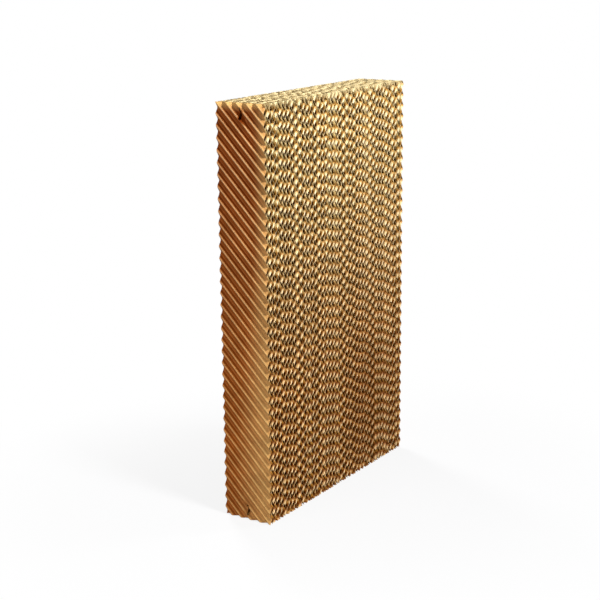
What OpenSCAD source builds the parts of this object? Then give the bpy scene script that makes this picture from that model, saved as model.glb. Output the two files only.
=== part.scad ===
// Evaporative cooling pad
// A block of fluted paper sheets glued crest to crest. The flutes of each sheet
// slope the other way from those of its neighbours, so they cross and leave
// slanting channels: air crosses the pad along Y while water runs down it.
// X runs through the stack of sheets, and the airflow enters at the -Y face.
// The origin is the middle of the bottom face. Sizes are in millimetres.

/* [Pad] */
// Height of the pad
pad_height = 950; // [300:10:2000]
// Depth of the pad, along the airflow
pad_depth = 126; // [50:1:300]
// Width of the pad through the stack, built to the nearest odd count of sheets
pad_width = 600; // [60:10:900]

/* [Flutes] */
// Height of a fluted sheet, from its troughs to its crests
flute_height = 7.5; // [4:0.1:12]
// Distance from one crest to the next, square to the flutes
flute_pitch = 18.7; // [10:0.1:30]
// Slope of the flutes from the level
flute_angle = 45; // [20:1:70]
// Thickness of the stiffened paper, measured through the stack
paper = 0.3; // [0.2:0.05:0.8]
// Glue between the crests of two sheets
glue_line = 0.1; // [0.05:0.05:0.3]
// Straight facets to a flute on the two end sheets, whose flutes show whole
end_facets = 8; // [4:2:12]
// Straight facets to a flute on the sheets between them
inner_facets = 2; // [2:2:4]

/* [Slits] */
// Width of the slits near the top and the bottom of the left end sheet
slit_width = 5; // [2:0.5:10]
// Length of a slit
slit_length = 26; // [10:1:60]
// Distance from a slit to the nearest edge of the sheet
slit_margin = 10; // [4:1:40]

/* [Hidden] */

kraft = [0.74, 0.53, 0.29];

// An odd count of sheets, so that the flutes of both end sheets slope alike
sheet_pitch = flute_height + glue_line;
last_sheet = 2 * round((pad_width / sheet_pitch - 1) / 2);
middle_sheet = last_sheet / 2;

// Room that the sloping flutes need to cover the sheet's corners
across_flutes = pad_height * cos(flute_angle) + pad_depth * sin(flute_angle);
along_flutes = pad_height * sin(flute_angle) + pad_depth * cos(flute_angle);
flute_count = 2 * ceil(across_flutes / flute_pitch / 2) + 2;

// Half the swing of the paper's middle line
swing = (flute_height - paper) / 2;

// Sheets come off the corrugating roll at no fixed point, so the crests of each
// start at a height of their own: a scattered but repeatable share of the pitch
function scatter(i) = let (spread = 1000 * sin(137.5 * i)) spread - floor(spread);
function flute_shift(i) = flute_pitch * scatter(i);

function sheet_x(i) = (i - middle_sheet) * sheet_pitch;
function sheet_slope(i) = i % 2 == 0 ? flute_angle : -flute_angle;

// Middle line of the paper across all its flutes, as a sampled wave
function wave_line(facets) = [
  for (k = [0 : flute_count * facets])
    [(k / facets - flute_count / 2) * flute_pitch, swing * cos(360 * k / facets)]
];

// Outline of the paper around that line
function paper_outline(line) = concat(
  [for (point = line) point + [0, paper / 2]],
  [for (k = [len(line) - 1 : -1 : 0]) line[k] - [0, paper / 2]]
);

// One sheet in its place: the wave is drawn out along the sloping flutes, and
// the sheet is then trimmed to the pad's depth and height
module fluted_sheet(i, facets) {
  translate([sheet_x(i), 0, pad_height / 2])
    intersection() {
      rotate([sheet_slope(i), 0, 0])
        rotate([0, -90, -90])
          translate([flute_shift(i), 0, 0])
            linear_extrude(height = along_flutes, center = true)
              polygon(paper_outline(wave_line(facets)));
      cube([2 * flute_height, pad_depth, pad_height], center = true);
    }
}

// Upright slit through an end sheet, with its middle at height z
module slit(i, z) {
  translate([sheet_x(i), 0, z])
    cube([2 * flute_height, slit_width, slit_length], center = true);
}

module left_end_sheet() {
  slit_rise = slit_margin + slit_length / 2;
  color(kraft)
    difference() {
      fluted_sheet(0, end_facets);
      slit(0, slit_rise);
      slit(0, pad_height - slit_rise);
    }
}

module right_end_sheet() {
  color(kraft)
    fluted_sheet(last_sheet, end_facets);
}

// Inner sheets whose flutes rise towards the back
module rising_sheets() {
  color(kraft)
    for (i = [2 : 2 : last_sheet - 1])
      fluted_sheet(i, inner_facets);
}

// Inner sheets whose flutes fall towards the back
module falling_sheets() {
  color(kraft)
    for (i = [1 : 2 : last_sheet - 1])
      fluted_sheet(i, inner_facets);
}

left_end_sheet();
rising_sheets();
falling_sheets();
right_end_sheet();
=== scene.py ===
import math
from collections import namedtuple

import bpy
import numpy as np
from mathutils import Matrix, Vector


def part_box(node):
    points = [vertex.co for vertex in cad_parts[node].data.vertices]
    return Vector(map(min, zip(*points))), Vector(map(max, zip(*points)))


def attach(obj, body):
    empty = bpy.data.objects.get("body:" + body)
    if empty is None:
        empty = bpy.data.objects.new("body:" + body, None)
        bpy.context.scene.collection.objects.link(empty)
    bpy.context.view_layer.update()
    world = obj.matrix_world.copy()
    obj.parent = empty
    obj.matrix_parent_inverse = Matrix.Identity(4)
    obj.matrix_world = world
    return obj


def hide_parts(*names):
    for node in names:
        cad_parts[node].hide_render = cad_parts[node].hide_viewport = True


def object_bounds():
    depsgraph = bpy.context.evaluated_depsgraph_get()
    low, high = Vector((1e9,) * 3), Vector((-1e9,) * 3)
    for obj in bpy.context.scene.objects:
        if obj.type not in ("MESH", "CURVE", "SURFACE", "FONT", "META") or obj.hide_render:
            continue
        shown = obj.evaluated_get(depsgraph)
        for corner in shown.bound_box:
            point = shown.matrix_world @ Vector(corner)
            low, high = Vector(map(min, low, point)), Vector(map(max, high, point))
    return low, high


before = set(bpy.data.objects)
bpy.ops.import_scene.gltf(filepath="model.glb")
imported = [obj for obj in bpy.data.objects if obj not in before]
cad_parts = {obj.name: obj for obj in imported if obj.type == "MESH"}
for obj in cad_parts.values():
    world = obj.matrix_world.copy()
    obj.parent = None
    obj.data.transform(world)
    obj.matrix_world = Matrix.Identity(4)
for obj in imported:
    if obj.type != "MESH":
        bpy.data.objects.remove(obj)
cad_low, cad_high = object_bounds()

# Pad, from the frame
PAD_WIDTH, PAD_DEPTH, PAD_HEIGHT = Vector(cad_high) - Vector(cad_low)
end_low, end_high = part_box("left_end_sheet")
FLUTE_HEIGHT = end_high.x - end_low.x

# Flutes, as in the part's source
SHEET_COUNT = 79
LAST_SHEET = SHEET_COUNT - 1
FLUTE_PITCH = 0.0187
FLUTE_ANGLE = math.radians(45)
PAPER = 0.0003
SHEET_PITCH = (PAD_WIDTH - FLUTE_HEIGHT) / LAST_SHEET
END_SWING = (FLUTE_HEIGHT - PAPER) / 2

# Glued crests press a little into each other
PRESS = 0.0002
INNER_SWING = (SHEET_PITCH + PRESS - PAPER) / 2

# Slits near the top and the bottom of the left end sheet
SLIT_WIDTH = 0.005
SLIT_LENGTH = 0.026
SLIT_MARGIN = 0.010

# How finely the sheets are drawn: steps across one flute, and stations along a flute
INNER_STEPS = 12
INNER_STATIONS = (0, 0.05, 0.5, 0.95, 1)
END_STEPS = 16
END_STATIONS = (0, 0.02, 0.06, 0.15, 0.3, 0.5, 0.7, 0.85, 0.94, 0.98, 1)
SHARP_ANGLE = math.radians(50)

# Meshes to each family of inner sheets, which would have too many triangles for one
GROUPS = 2

# Scatter from sheet to sheet, as in the part's source, and where along it the tones of the paper start
SCATTER_TURN = 137.5
SCATTER_GAIN = 1000
TONE_START = 500

# How real paper strays from a drawn zigzag: its folds are round, and its wave wanders up and down the sheet,
# is skewed along the flutes and shrinks here and there
SEED = 41
ROUNDING = 0.90
WANDER = 0.035
WANDER_RANGE = (0.3, 1)
WANDER_LENGTHS = (0.09, 0.23, 0.61)
SKEW = 0.05
SHRINK = 0.03
SHRINK_SPACING = 1.5 * FLUTE_PITCH

# Bends of the paper by the saw cuts, and the roughness of the cuts, at most a share of a short flute
EDGE_BEND = 0.0007
EDGE_REACH = 0.007
BEND_SPACING = FLUTE_PITCH / 2
SAW_ROUGHNESS = 0.0005
SAW_SHARE = 0.2
CORNER_CUT = 0.0004

# Sheets are cut one after another from a long web and every second one is turned over, so from sheet to
# sheet their waves step on by two shares of the pitch in turn, give or take a scatter
WEB_STEPS = (-0.05, -0.65)
WEB_SCATTER = 0.26
WEB_SEED = 7
web_scatter = np.random.default_rng(WEB_SEED).uniform(-WEB_SCATTER, WEB_SCATTER, SHEET_COUNT)
FRONT_PHASES = np.cumsum(np.resize(WEB_STEPS, SHEET_COUNT) + web_scatter)


# Shapes of the sheets

def scatter(i):
    """Scattered but repeatable number from 0 to 1 for sheet i."""
    scaled = SCATTER_GAIN * math.sin(math.radians(SCATTER_TURN * i))
    return scaled - math.floor(scaled)


def is_end(i):
    """Whether sheet i closes the stack on the left or on the right."""
    return i in (0, LAST_SHEET)


def sheet_x(i):
    """Place of sheet i through the stack."""
    return (i - LAST_SHEET / 2) * SHEET_PITCH


def sheet_side(i):
    """1 where the flutes rise towards the back, -1 where they fall."""
    return 1 if i % 2 == 0 else -1


def wave_shift(i):
    """How far up the sheet its wave is moved: end sheets as in the part's source, inner ones by the web."""
    if is_end(i):
        return FLUTE_PITCH * scatter(i)
    front = sheet_side(i) * math.sin(FLUTE_ANGLE) * PAD_DEPTH / 2
    return front - FLUTE_PITCH * FRONT_PHASES[i]


def paper_wave(phase):
    """Rounded zigzag from -1 to 1, with a crest at every whole phase."""
    return np.arcsin(ROUNDING * np.cos(2 * math.pi * phase)) / math.asin(ROUNDING)


def random_line(rng, places, spacing):
    """Random numbers from -1 to 1 at even knots, joined by straight lines, as a column of one to a place."""
    knots = np.arange(places.min() - spacing, places.max() + 2 * spacing, spacing)
    return np.interp(places, knots, rng.uniform(-1, 1, len(knots)))[:, None]


def flute_lines(slope, steps, shift):
    """Places across the flutes, and where each line along a flute enters and leaves the sheet."""
    half_depth = PAD_DEPTH / 2
    half_height = PAD_HEIGHT / 2
    level = half_depth * math.sin(FLUTE_ANGLE)
    upright = half_height * math.cos(FLUTE_ANGLE)
    reach = upright + level - CORNER_CUT
    first = math.ceil((-reach - shift) / FLUTE_PITCH * steps)
    last = math.floor((reach - shift) / FLUTE_PITCH * steps)
    regular = shift + np.arange(first, last + 1) * FLUTE_PITCH / steps
    corners = (-reach, level - upright, upright - level, reach)
    across = np.unique(np.concatenate((regular, corners)))

    # Where each line meets the front and the back, and the bottom and the top
    y_start = (-half_depth + across * math.sin(slope)) / math.cos(slope)
    y_end = (half_depth + across * math.sin(slope)) / math.cos(slope)
    z_first = (-half_height - across * math.cos(slope)) / math.sin(slope)
    z_second = (half_height - across * math.cos(slope)) / math.sin(slope)
    start = np.maximum(y_start, np.minimum(z_first, z_second))
    end = np.minimum(y_end, np.maximum(z_first, z_second))
    return across, start, end


def wandering_phase(rng, across, along, shift):
    """Phase of the wave over a sheet, even but for its wandering and its skew."""
    phase = (across - shift) / FLUTE_PITCH
    for length in WANDER_LENGTHS:
        start_angle = rng.uniform(0, 2 * math.pi)
        strength = WANDER * rng.uniform(*WANDER_RANGE)
        phase = phase + strength * np.sin(2 * math.pi * across / length + start_angle)
    return phase + SKEW * rng.uniform(-1, 1) * along / PAD_DEPTH


def sheet_surface(i, steps, stations):
    """Middle surface of sheet i as a grid of points, with the wave's height at each."""
    rng = np.random.default_rng(SEED + i)
    slope = sheet_side(i) * FLUTE_ANGLE
    shift = wave_shift(i)
    lines, start, end = flute_lines(slope, steps, shift)
    room = (end - start) * SAW_SHARE
    start = start + np.minimum(SAW_ROUGHNESS * rng.uniform(0, 1, len(lines)), room)
    end = end - np.minimum(SAW_ROUGHNESS * rng.uniform(0, 1, len(lines)), room)

    # Columns with one value to a line, and the grid of places along the lines
    across, start, end = lines[:, None], start[:, None], end[:, None]
    along = start + (end - start) * np.array(stations)
    wave = paper_wave(wandering_phase(rng, across, along, shift))
    size = 1 - SHRINK * (0.5 + 0.5 * random_line(rng, lines, SHRINK_SPACING))
    start_bend = random_line(rng, lines, BEND_SPACING) * np.exp(-(along - start) / EDGE_REACH)
    end_bend = random_line(rng, lines, BEND_SPACING) * np.exp(-(end - along) / EDGE_REACH)
    bend = EDGE_BEND * (start_bend + end_bend) * (1 - wave ** 2)

    swing = END_SWING if is_end(i) else INNER_SWING
    x = sheet_x(i) + swing * size * wave + bend
    y = -across * math.sin(slope) + along * math.cos(slope)
    z = PAD_HEIGHT / 2 + across * math.cos(slope) + along * math.sin(slope)
    return np.stack((x, y, z), axis=-1), wave


def sheet_arrays(i, steps, stations):
    """Closed mesh of sheet i: points, quads, which quads are sawn edge, and each point's crest height."""
    surface, wave = sheet_surface(i, steps, stations)
    half = np.array((PAPER / 2, 0, 0))
    points = np.concatenate(((surface - half).reshape(-1, 3), (surface + half).reshape(-1, 3)))
    crest = np.concatenate((-wave.ravel(), wave.ravel()))

    # Quads of the left face, of the right face and of the sawn rim between them, all turned outwards
    near = np.arange(wave.size).reshape(wave.shape)
    far = near + wave.size
    low = np.stack((near[:-1, :-1], near[1:, :-1], near[1:, 1:], near[:-1, 1:]), axis=-1).reshape(-1, 4)
    high = np.stack((far[:-1, :-1], far[:-1, 1:], far[1:, 1:], far[1:, :-1]), axis=-1).reshape(-1, 4)
    loop = np.concatenate((near[0, :], near[1:, -1], near[-1, -2::-1], near[-2:0:-1, 0]))
    after = np.roll(loop, -1)
    rim = np.stack((loop, after, after + wave.size, loop + wave.size), axis=-1)
    quads = np.concatenate((low, high, rim))

    # Quads of falling flutes start one corner on, so that they are halved along the other diagonal
    if sheet_side(i) < 0:
        quads = np.roll(quads, -1, axis=1)
    sawn = np.zeros(len(quads), int)
    sawn[len(low) + len(high):] = 1
    return points, quads, sawn, crest


def quad_mesh(name, points, quads, material_numbers, materials):
    """Mesh of quads, with the number of a material for each."""
    mesh = bpy.data.meshes.new(name)
    mesh.vertices.add(len(points))
    mesh.vertices.foreach_set("co", points.astype(np.float32).ravel())
    mesh.loops.add(quads.size)
    mesh.loops.foreach_set("vertex_index", quads.astype(np.int32).ravel())
    mesh.polygons.add(len(quads))
    mesh.polygons.foreach_set("loop_start", np.arange(0, quads.size, quads.shape[1], dtype=np.int32))
    for material in materials:
        mesh.materials.append(material)
    mesh.polygons.foreach_set("material_index", material_numbers.astype(np.int32))
    mesh.update(calc_edges=True)
    mesh.validate()
    return mesh


def make_piece(name, sheets, steps, stations, materials):
    """One object that holds the given sheets as separate closed meshes, with what the materials read."""
    points, quads, sawn, crest, tone, inside = [], [], [], [], [], []
    count = 0
    for i in sheets:
        sheet_points, sheet_quads, sheet_sawn, sheet_crest = sheet_arrays(i, steps, stations)
        points.append(sheet_points)
        quads.append(sheet_quads + count)
        sawn.append(sheet_sawn)
        crest.append(sheet_crest)
        tone.append(np.full(len(sheet_points), 2 * scatter(i + TONE_START) - 1))

        # Only the left face of the first sheet and the right face of the last lie outside the stack
        inside.append(np.repeat((i > 0, i < LAST_SHEET), len(sheet_points) // 2))
        count += len(sheet_points)
    mesh = quad_mesh(name, np.concatenate(points), np.concatenate(quads), np.concatenate(sawn), materials)
    for label, values in (("crest", crest), ("tone", tone), ("inside", inside)):
        layer = mesh.attributes.new(label, "FLOAT", "POINT")
        layer.data.foreach_set("value", np.concatenate(values).astype(np.float32))
    mesh.shade_smooth()
    mesh.set_sharp_from_angle(angle=SHARP_ANGLE)
    piece = bpy.data.objects.new(name, mesh)
    bpy.context.scene.collection.objects.link(piece)
    return piece


# Nodes of the materials

# Places of the colour sockets on a Mix node
MIX_FIRST = 6
MIX_SECOND = 7
MIX_RESULT = 2


def start_material(name):
    """New material with its node tree and its shader."""
    material = bpy.data.materials.new(name)
    material.use_nodes = True
    tree = material.node_tree
    return material, tree, tree.nodes["Principled BSDF"]


def connect(tree, value, socket):
    """Puts a number, a colour or another node's output into a socket."""
    if isinstance(value, bpy.types.NodeSocket):
        tree.links.new(value, socket)
    else:
        socket.default_value = value


def maths(tree, operation, *values):
    """Result of one calculation with the values."""
    node = tree.nodes.new("ShaderNodeMath")
    node.operation = operation
    for value, socket in zip(values, node.inputs):
        connect(tree, value, socket)
    return node.outputs[0]


def spread(tree, value, low, high, new_low=0.0, new_high=1.0):
    """Maps low to high onto new_low to new_high, smoothly and without running over."""
    node = tree.nodes.new("ShaderNodeMapRange")
    node.interpolation_type = "SMOOTHSTEP"
    connect(tree, value, node.inputs["Value"])
    node.inputs["From Min"].default_value = low
    node.inputs["From Max"].default_value = high
    node.inputs["To Min"].default_value = new_low
    node.inputs["To Max"].default_value = new_high
    return node.outputs["Result"]


def blend_colour(tree, share, first, second, kind="MIX"):
    """First colour with a share of the second in it."""
    node = tree.nodes.new("ShaderNodeMix")
    node.data_type = "RGBA"
    node.blend_type = kind
    connect(tree, share, node.inputs["Factor"])
    connect(tree, first, node.inputs[MIX_FIRST])
    connect(tree, second, node.inputs[MIX_SECOND])
    return node.outputs[MIX_RESULT]


def noise(tree, place, scale, detail, roughness=0.5):
    """Soft noise from 0 to 1, mostly near the middle."""
    node = tree.nodes.new("ShaderNodeTexNoise")
    tree.links.new(place, node.inputs["Vector"])
    node.inputs["Scale"].default_value = scale
    node.inputs["Detail"].default_value = detail
    node.inputs["Roughness"].default_value = roughness
    return node.outputs["Fac"]


def ramp(tree, value, stops):
    """Colour along a row of stops, each a place from 0 to 1 and a colour."""
    node = tree.nodes.new("ShaderNodeValToRGB")
    connect(tree, value, node.inputs["Fac"])
    elements = node.color_ramp.elements
    for element, (place, colour) in zip(elements, (stops[0], stops[-1])):
        element.position = place
        element.color = colour
    for place, colour in stops[1:-1]:
        elements.new(place).color = colour
    return node.outputs["Color"]


def attribute(tree, name):
    """Number that the mesh holds for each of its points."""
    node = tree.nodes.new("ShaderNodeAttribute")
    node.attribute_name = name
    return node.outputs["Fac"]


def object_place(tree):
    """Place on the object, in metres."""
    return tree.nodes.new("ShaderNodeTexCoord").outputs["Object"]


def mapped(tree, place, location=(0, 0, 0), rotation=(0, 0, 0), scale=(1, 1, 1)):
    """Place as seen from a frame that is moved, turned and stretched."""
    node = tree.nodes.new("ShaderNodeMapping")
    node.vector_type = "TEXTURE"
    node.inputs["Location"].default_value = location
    node.inputs["Rotation"].default_value = rotation
    node.inputs["Scale"].default_value = scale
    tree.links.new(place, node.inputs["Vector"])
    return node.outputs["Vector"]


def axes(tree, vector):
    """The X, Y and Z of a vector."""
    node = tree.nodes.new("ShaderNodeSeparateXYZ")
    tree.links.new(vector, node.inputs[0])
    return node.outputs


def length_of(tree, vector):
    """Length of a vector."""
    node = tree.nodes.new("ShaderNodeVectorMath")
    node.operation = "LENGTH"
    tree.links.new(vector, node.inputs[0])
    return node.outputs["Value"]


def shaded(tree, colour, *shares):
    """Colour made lighter or darker by the shares multiplied together."""
    shade = shares[0]
    for share in shares[1:]:
        shade = maths(tree, "MULTIPLY", shade, share)
    grey = tree.nodes.new("ShaderNodeCombineColor")
    for channel in ("Red", "Green", "Blue"):
        tree.links.new(shade, grey.inputs[channel])
    return blend_colour(tree, 1.0, colour, grey.outputs[0], "MULTIPLY")


# Kraft paper. A range below is two limits of what is read and, where four numbers stand, what they become

# Colours inside the channels, at the top and at the bottom of the pad, the lower ones browner and mostly
# darker, as painted shade towards the bottom
INNER_TOP = {
    "pale": (0.77, 0.65, 0.44, 1),
    "body": (0.76, 0.60, 0.26, 1),
    "resin_and_shade": (0.43, 0.180, 0.006, 1),
}
INNER_LOW = {
    "pale": (0.81, 0.62, 0.350, 1),
    "body": (0.58, 0.270, 0.038, 1),
    "resin_and_shade": (0.23, 0.046, 0.0005, 1),
}

# Distances below the top over which the upper colours turn into the lower ones: painted shade, darker
# towards the bottom
PAINTED_FALLOFF = (0.05, 0.75)

# Painted highlights on the crests and painted shade in the troughs inside the channels, by the height of the
# wave
CREST_HIGHLIGHT = (0.80, 1.0, 0.0, 0.80)
TROUGH_SHADE = (-0.8, 0.2, 0.84, 0.0)

# How far the pale paper reaches in from the saw cuts, partly the paper's paler cut edge and partly painted
# light where light gets into the channels, and how much it fades as the paper turns face down, which is
# painted shade on the undersides
PALE_BY_CUTS = (0.0, 0.005, 1.0, 0.0)
UNDERSIDE_SHADE = (-0.30, 0.10, 0.05, 1.0)

# Colour of the paper right below the top, one duller colour on both sides, painted shade against the strong
# lamp light on the top, and how far down that reaches
TOP_PALE = (0.63, 0.51, 0.275, 1)
TOP_SHADE_REACH = (0.0, 0.016, 1.0, 0.0)

# Painted shade far inside the channels, nearly black, and where it sets in behind the front and back and
# inside the two ends
DEEP_SHADE = (0.05, 0.008, 0.0003, 1)
DARK_BEHIND_FACES = (0.0028, 0.0068)
DARK_INSIDE_ENDS = (0.003, 0.020)

# Soft painted shade low on the right of the front, where less light falls: its middle, its reach along each
# axis, its colour and strength
LOW_SHADE_MIDDLE = (0.14, -PAD_DEPTH / 2, 0.17)
LOW_SHADE_REACH = (0.19, 0.09, 0.36)
LOW_SHADE_COLOUR = (0.20, 0.056, 0.006, 1)
LOW_SHADE_SHARE = 0.50

# Colours of the two outer sides, from the bottom of a trough to the top of a crest, high up and low down.
# They carry painted light and shade over the brown of the paper: painted highlights on the crests, painted
# shade on the flanks, lighter lines at the trough and low on the flank, and lighter colours low down as
# painted light from below
OUTER_TOP_STOPS = (
    (0.00, (0.34, 0.090, 0.014, 1)),
    (0.08, (0.20, 0.036, 0.003, 1)),
    (0.20, (0.52, 0.175, 0.050, 1)),
    (0.32, (0.20, 0.036, 0.004, 1)),
    (0.55, (0.15, 0.022, 0.001, 1)),
    (0.70, (0.27, 0.065, 0.009, 1)),
    (0.80, (0.46, 0.185, 0.055, 1)),
    (0.90, (0.60, 0.33, 0.14, 1)),
    (1.00, (0.67, 0.41, 0.205, 1)),
)
OUTER_LOW_STOPS = (
    (0.00, (0.42, 0.135, 0.024, 1)),
    (0.08, (0.29, 0.076, 0.009, 1)),
    (0.20, (0.54, 0.205, 0.056, 1)),
    (0.32, (0.28, 0.074, 0.009, 1)),
    (0.55, (0.22, 0.050, 0.004, 1)),
    (0.70, (0.32, 0.098, 0.014, 1)),
    (0.80, (0.44, 0.175, 0.042, 1)),
    (0.90, (0.56, 0.28, 0.090, 1)),
    (1.00, (0.61, 0.34, 0.125, 1)),
)
OUTER_CHANGE = (0.05, 0.85)

# Resin streaks on the outer sides, and painted shade that deepens towards the back
OUTER_RESIN_AND_SHADE = (0.22, 0.045, 0.005, 1)
SHADE_TO_BACK = (0.02, PAD_DEPTH, 0.0, 0.40)

# Gold of the outer sides, partly the paler sawn edges and partly painted light that reaches further in lower
# down:
# how far it reaches in from the front, by the distance below the top, its strength there, and its strength
# along the top
GOLD = (0.62, 0.39, 0.14, 1)
GOLD_REACH = (0.20, PAD_HEIGHT, 0.036, 0.115)
GOLD_BY_FRONT = (0.0, 1.0, 0.60, 0.0)
GOLD_BY_TOP = (0.0, 0.022, 0.85, 0.0)

# Noises of the paper, as scale, detail and roughness, and the ranges that they are spread over
STREAK_STRETCH = 12
STREAK_NOISE = (260, 3, 0.6)
STREAK_SHARE = (0.3, 0.7, 0.0, 0.30)
UNEVEN_NOISE = (60, 3)
UNEVEN_SHARE = (0.2, 0.8, 0.7, 1.0)
MOTTLE_NOISE = (22, 4)
MOTTLE_TONE = (0.3, 0.7, 0.86, 1.08)
FIBRE_NOISE = (1400, 2)
FIBRE_TONE = (0.3, 0.7, 0.90, 1.08)
FIBRE_ROUGHNESS = (0.2, 0.8, 0.66, 0.86)
SPECK_NOISE = (800, 1)
SPECK_SHARE = (0.70, 0.78, 0.0, 0.35)
SPECK_COLOUR = (0.16, 0.075, 0.025, 1)

# How much one sheet may be lighter or darker than another
SHEET_TONE = 0.08

# Paper hardly shines, and its fibres stand out a little
SPECULAR = 0.02
BUMP_STRENGTH = 0.35
BUMP_DISTANCE = 0.0003

Distances = namedtuple("Distances", "from_front from_faces from_top from_ends")


def below_top(tree, place):
    """Distance below the top of the pad."""
    return maths(tree, "SUBTRACT", PAD_HEIGHT, axes(tree, place)["Z"])


def sawn_distances(tree, place):
    """Distances from the front, from the nearer of front and back, from the top, and from the nearer end."""
    from_front = maths(tree, "ADD", axes(tree, place)["Y"], PAD_DEPTH / 2)
    from_faces = maths(tree, "MINIMUM", from_front, maths(tree, "SUBTRACT", PAD_DEPTH, from_front))
    from_top = below_top(tree, place)
    from_ends = maths(tree, "MINIMUM", from_top, axes(tree, place)["Z"])
    return Distances(from_front, from_faces, from_top, from_ends)


def low_shade_share(tree, place):
    """How strongly the painted shade low on the right shows at a place."""
    from_middle = length_of(tree, mapped(tree, place, location=LOW_SHADE_MIDDLE, scale=LOW_SHADE_REACH))
    return spread(tree, from_middle, 0.0, 1.0, LOW_SHADE_SHARE, 0.0)


def underside_shade_share(tree):
    """Share of the pale paper that stays as the paper turns face down, so that the undersides get painted
    shade.
    """
    normal = tree.nodes.new("ShaderNodeNewGeometry").outputs["Normal"]
    return spread(tree, axes(tree, normal)["Z"], *UNDERSIDE_SHADE)


def inner_colour(tree, crest, streaks, uneven, distances):
    """Paper inside the channels: pale by the saw cuts, partly painted light, with painted highlights on the
    crests and painted shade in the troughs, on the undersides, towards the bottom and far in.
    """
    # Painted shade: the colours darken towards the bottom of the pad
    falloff = spread(tree, distances.from_top, *PAINTED_FALLOFF)
    pale, body, resin_and_shade = (
        blend_colour(tree, falloff, INNER_TOP[name], INNER_LOW[name]) for name in ("pale", "body", "resin_and_shade")
    )
    colour = blend_colour(tree, streaks, body, resin_and_shade)
    # Painted shade on the undersides: the pale paper and the painted crest highlights fade as the paper
    # turns face down
    lit_side_share = underside_shade_share(tree)
    # Painted highlights: the crests turn pale
    crest_share = maths(tree, "MULTIPLY", spread(tree, crest, *CREST_HIGHLIGHT), lit_side_share)
    colour = blend_colour(tree, crest_share, colour, pale)
    # Painted light near the saw cuts, on top of the paper's paler cut edge
    from_cuts = maths(tree, "MINIMUM", distances.from_faces, distances.from_ends)
    pale_share = maths(tree, "MULTIPLY", spread(tree, from_cuts, *PALE_BY_CUTS), uneven)
    pale_share = maths(tree, "MULTIPLY", pale_share, lit_side_share)
    colour = blend_colour(tree, pale_share, colour, pale)
    # Painted shade: the troughs darken to the resin colour
    colour = blend_colour(tree, spread(tree, crest, *TROUGH_SHADE), colour, resin_and_shade)
    # Painted shade: one duller colour just below the top, on both sides of the paper
    colour = blend_colour(tree, spread(tree, distances.from_top, *TOP_SHADE_REACH), colour, TOP_PALE)
    # Painted shade: nearly black far inside the channels
    behind_faces = spread(tree, distances.from_faces, *DARK_BEHIND_FACES)
    inside_ends = spread(tree, distances.from_ends, *DARK_INSIDE_ENDS)
    return blend_colour(tree, maths(tree, "MINIMUM", behind_faces, inside_ends), colour, DEEP_SHADE)


def outer_colour(tree, crest, streaks, uneven, distances):
    """The two outer sides: brown flutes with painted highlights on the crests, painted shade on the flanks
    and towards the back, and a golden front edge that is partly painted light.
    """
    # Painted highlights on the crests and painted shade on the flanks, lighter low down as painted light
    # from below
    height = maths(tree, "MULTIPLY_ADD", crest, 0.5, 0.5)
    high_up = ramp(tree, height, OUTER_TOP_STOPS)
    low_down = ramp(tree, height, OUTER_LOW_STOPS)
    colour = blend_colour(tree, spread(tree, distances.from_top, *OUTER_CHANGE), high_up, low_down)
    # Resin streaks, and painted shade towards the back
    resin_and_shade_share = maths(tree, "MAXIMUM", streaks, spread(tree, distances.from_front, *SHADE_TO_BACK))
    colour = blend_colour(tree, resin_and_shade_share, colour, OUTER_RESIN_AND_SHADE)
    # Paler sawn edges with painted light near the front and the top
    reach = spread(tree, distances.from_top, *GOLD_REACH)
    by_front = spread(tree, maths(tree, "DIVIDE", distances.from_front, reach), *GOLD_BY_FRONT)
    by_top = spread(tree, distances.from_top, *GOLD_BY_TOP)
    gold_share = maths(tree, "MULTIPLY", maths(tree, "MAXIMUM", by_front, by_top), uneven)
    return blend_colour(tree, gold_share, colour, GOLD)


def kraft_paper(name, side):
    """Stiffened kraft paper with fibres along the flutes."""
    material, tree, shader = start_material(name)
    place = object_place(tree)
    streaked = mapped(tree, place, rotation=(side * FLUTE_ANGLE, 0, 0), scale=(1, STREAK_STRETCH, 1))
    streaks = spread(tree, noise(tree, streaked, *STREAK_NOISE), *STREAK_SHARE)
    uneven = spread(tree, noise(tree, place, *UNEVEN_NOISE), *UNEVEN_SHARE)
    fibres = noise(tree, streaked, *FIBRE_NOISE)
    crest = attribute(tree, "crest")
    distances = sawn_distances(tree, place)
    inner = inner_colour(tree, crest, streaks, uneven, distances)
    outer = outer_colour(tree, crest, streaks, uneven, distances)
    # Painted shade low on the right of the front
    low_shade = maths(tree, "MULTIPLY", low_shade_share(tree, place), uneven)
    inner = blend_colour(tree, low_shade, inner, LOW_SHADE_COLOUR)
    colour = blend_colour(tree, attribute(tree, "inside"), outer, inner)

    mottle = spread(tree, noise(tree, place, *MOTTLE_NOISE), *MOTTLE_TONE)
    sheet_tone = maths(tree, "MULTIPLY_ADD", attribute(tree, "tone"), SHEET_TONE, 1.0)
    colour = shaded(tree, colour, mottle, sheet_tone, spread(tree, fibres, *FIBRE_TONE))
    specks = spread(tree, noise(tree, place, *SPECK_NOISE), *SPECK_SHARE)
    colour = blend_colour(tree, specks, colour, SPECK_COLOUR)
    tree.links.new(colour, shader.inputs["Base Color"])
    tree.links.new(spread(tree, fibres, *FIBRE_ROUGHNESS), shader.inputs["Roughness"])
    shader.inputs["Specular IOR Level"].default_value = SPECULAR
    bump = tree.nodes.new("ShaderNodeBump")
    bump.inputs["Strength"].default_value = BUMP_STRENGTH
    bump.inputs["Distance"].default_value = BUMP_DISTANCE
    tree.links.new(fibres, bump.inputs["Height"])
    tree.links.new(bump.outputs["Normal"], shader.inputs["Normal"])
    return material


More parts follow.
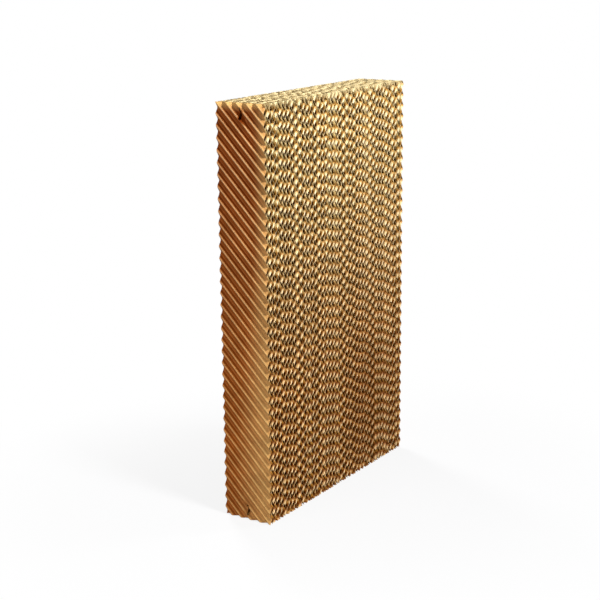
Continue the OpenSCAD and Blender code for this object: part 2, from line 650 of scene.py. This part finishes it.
# Saw cuts: colours of the torn fibres, dull and bright, high up and low down, the lower ones darker as
# painted shade
SAWN_TOP = ((0.53, 0.40, 0.18, 1), (0.67, 0.53, 0.30, 1))
SAWN_LOW = ((0.37, 0.21, 0.06, 1), (0.55, 0.37, 0.155, 1))
SAWN_NOISE = (900, 3)
SAWN_BRIGHT = (0.3, 0.7)
SAWN_ROUGHNESS = 0.9


def sawn_edge():
    """Torn pale fibres where the saw went through the paper, with painted shade that makes them browner
    towards the bottom and low on the right of the front.
    """
    material, tree, shader = start_material("sawn_edge")
    place = object_place(tree)
    # Painted shade: the saw cuts darken towards the bottom of the pad
    falloff = spread(tree, below_top(tree, place), *PAINTED_FALLOFF)
    dull, bright = (blend_colour(tree, falloff, high, low) for high, low in zip(SAWN_TOP, SAWN_LOW))
    fibres = spread(tree, noise(tree, place, *SAWN_NOISE), *SAWN_BRIGHT)
    colour = blend_colour(tree, fibres, dull, bright)
    # Painted shade low on the right of the front
    colour = blend_colour(tree, low_shade_share(tree, place), colour, LOW_SHADE_COLOUR)
    tree.links.new(colour, shader.inputs["Base Color"])
    shader.inputs["Roughness"].default_value = SAWN_ROUGHNESS
    shader.inputs["Specular IOR Level"].default_value = SPECULAR
    return material


# Pieces

def add_slits(piece):
    """Cuts the two upright slits through the left end sheet."""
    rise = SLIT_MARGIN + SLIT_LENGTH / 2
    for z in (rise, PAD_HEIGHT - rise):
        bpy.ops.mesh.primitive_cube_add(size=1, location=(sheet_x(0), 0, z))
        cutter = bpy.context.object
        cutter.scale = (2 * FLUTE_HEIGHT, SLIT_WIDTH, SLIT_LENGTH)
        cut = piece.modifiers.new("slit", "BOOLEAN")
        cut.operation = "DIFFERENCE"
        cut.solver = "EXACT"
        cut.object = cutter
        bpy.context.view_layer.objects.active = piece
        bpy.ops.object.modifier_apply(modifier=cut.name)
        bpy.data.objects.remove(cutter)


def fit(piece, node):
    """Puts a piece in the place of a node of the frame."""
    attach(piece, "root")
    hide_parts(node)


edge = sawn_edge()
papers = {1: kraft_paper("kraft_rising", 1), -1: kraft_paper("kraft_falling", -1)}

left_end = make_piece("left_end_paper", [0], END_STEPS, END_STATIONS, (papers[1], edge))
add_slits(left_end)
fit(left_end, "left_end_sheet")
right_materials = (papers[sheet_side(LAST_SHEET)], edge)
right_end = make_piece("right_end_paper", [LAST_SHEET], END_STEPS, END_STATIONS, right_materials)
fit(right_end, "right_end_sheet")

# Every second sheet between the ends belongs to the same family
for node, side, first in (("rising_sheets", 1, 2), ("falling_sheets", -1, 1)):
    sheets = np.arange(first, LAST_SHEET, 2)
    for number, group in enumerate(np.array_split(sheets, GROUPS), start=1):
        name = f"{node.replace('sheets', 'paper')}_{number}"
        piece = make_piece(name, group.tolist(), INNER_STEPS, INNER_STATIONS, (papers[side], edge))
        fit(piece, node)

# Floor and background

WHITE = (1, 1, 1, 1)
FLOOR_SIZE = 60
FLOOR_COLOUR = (0.60, 0.60, 0.61, 1)
FLOOR_ROUGHNESS = 0.9

# Share of the floor's white glow, by the distance from the middle of the pad
FLOOR_GLOW = (0.35, 0.95, 0.82, 1.0)

# Strength of the even light from all round
AMBIENT = 0.12

scene = bpy.context.scene


def seen_directly(tree):
    """1 for rays from the camera, from a mirror or through glass, which see the white background."""
    path = tree.nodes.new("ShaderNodeLightPath")
    direct = maths(tree, "MAXIMUM", path.outputs["Is Camera Ray"], path.outputs["Is Glossy Ray"])
    return maths(tree, "MAXIMUM", direct, path.outputs["Is Transmission Ray"])


def make_floor():
    """Floor that glows white to the camera, a little less by the pad, where it shows the shadow."""
    bpy.ops.mesh.primitive_plane_add(size=FLOOR_SIZE)
    floor = bpy.context.object
    floor.name = "floor"
    material, tree, shader = start_material("pale_floor")
    shader.inputs["Base Color"].default_value = FLOOR_COLOUR
    shader.inputs["Roughness"].default_value = FLOOR_ROUGHNESS
    glow = tree.nodes.new("ShaderNodeEmission")
    glow.inputs["Color"].default_value = WHITE
    glow.inputs["Strength"].default_value = 1.0
    from_middle = length_of(tree, object_place(tree))
    glow_share = maths(tree, "MULTIPLY", seen_directly(tree), spread(tree, from_middle, *FLOOR_GLOW))
    mix = tree.nodes.new("ShaderNodeMixShader")
    tree.links.new(glow_share, mix.inputs["Fac"])
    tree.links.new(shader.outputs["BSDF"], mix.inputs[1])
    tree.links.new(glow.outputs["Emission"], mix.inputs[2])
    tree.links.new(mix.outputs["Shader"], tree.nodes["Material Output"].inputs["Surface"])
    floor.data.materials.append(material)


def make_world():
    """Background that is white to the camera and lights the pad weakly from all round."""
    world = bpy.data.worlds.new("studio")
    world.use_nodes = True
    tree = world.node_tree
    background = tree.nodes["Background"]
    background.inputs["Color"].default_value = WHITE
    strength = maths(tree, "MULTIPLY_ADD", seen_directly(tree), 1 - AMBIENT, AMBIENT)
    tree.links.new(strength, background.inputs["Strength"])
    scene.world = world


make_floor()
make_world()

# Lamps: name, place, what it points at, side of its square and power in watts
LAMPS = (
    ("key", (-0.40, -0.8, 1.9), (0, 0, 0.6), 0.25, 36),
    ("key_right", (0.55, -0.8, 1.9), (0, 0, 0.6), 0.25, 8.5),
    ("back_fill", (0.9, 1.5, 0.9), (0, 0, 0.45), 0.5, 36),
    ("top_fill", (-1.3, 0.3, 1.6), (0, 0, 0.95), 0.5, 4),
    ("end_fill", (-1.3, -0.7, 0.42), (-0.3, 0, 0.36), 0.6, 7.4),
)


def softbox(name, place, target, size, power):
    """Square lamp that points at a target."""
    lamp_data = bpy.data.lights.new(name, "AREA")
    lamp_data.shape = "SQUARE"
    lamp_data.size = size
    lamp_data.energy = power
    lamp = bpy.data.objects.new(name, lamp_data)
    lamp.location = place
    lamp.rotation_euler = (Vector(target) - Vector(place)).to_track_quat("-Z", "Y").to_euler()
    scene.collection.objects.link(lamp)


for lamp_values in LAMPS:
    softbox(*lamp_values)

# Camera at the photograph's viewing angle, with its lens and sensor in millimetres
CAMERA_PLACE = (-2.6499, -1.7079, 1.2655)
CAMERA_AZIMUTH = math.radians(-56.454)
CAMERA_DOWN = math.radians(14.448)
CAMERA_ROLL = math.radians(-0.603)
CAMERA_LENS = 81.879
CAMERA_SENSOR = 36


def make_camera():
    """Camera that looks down at the pad from the left."""
    camera_data = bpy.data.cameras.new("camera")
    camera_data.lens = CAMERA_LENS
    camera_data.sensor_width = CAMERA_SENSOR
    camera = bpy.data.objects.new("camera", camera_data)
    forward = Vector((
        -math.sin(CAMERA_AZIMUTH) * math.cos(CAMERA_DOWN),
        math.cos(CAMERA_AZIMUTH) * math.cos(CAMERA_DOWN),
        -math.sin(CAMERA_DOWN),
    ))
    turn = forward.to_track_quat("-Z", "Y").to_matrix().to_4x4()
    roll = Matrix.Rotation(CAMERA_ROLL, 4, "Z")
    camera.matrix_world = Matrix.Translation(CAMERA_PLACE) @ turn @ roll
    scene.collection.objects.link(camera)
    scene.camera = camera


make_camera()
scene.view_settings.view_transform = "Standard"
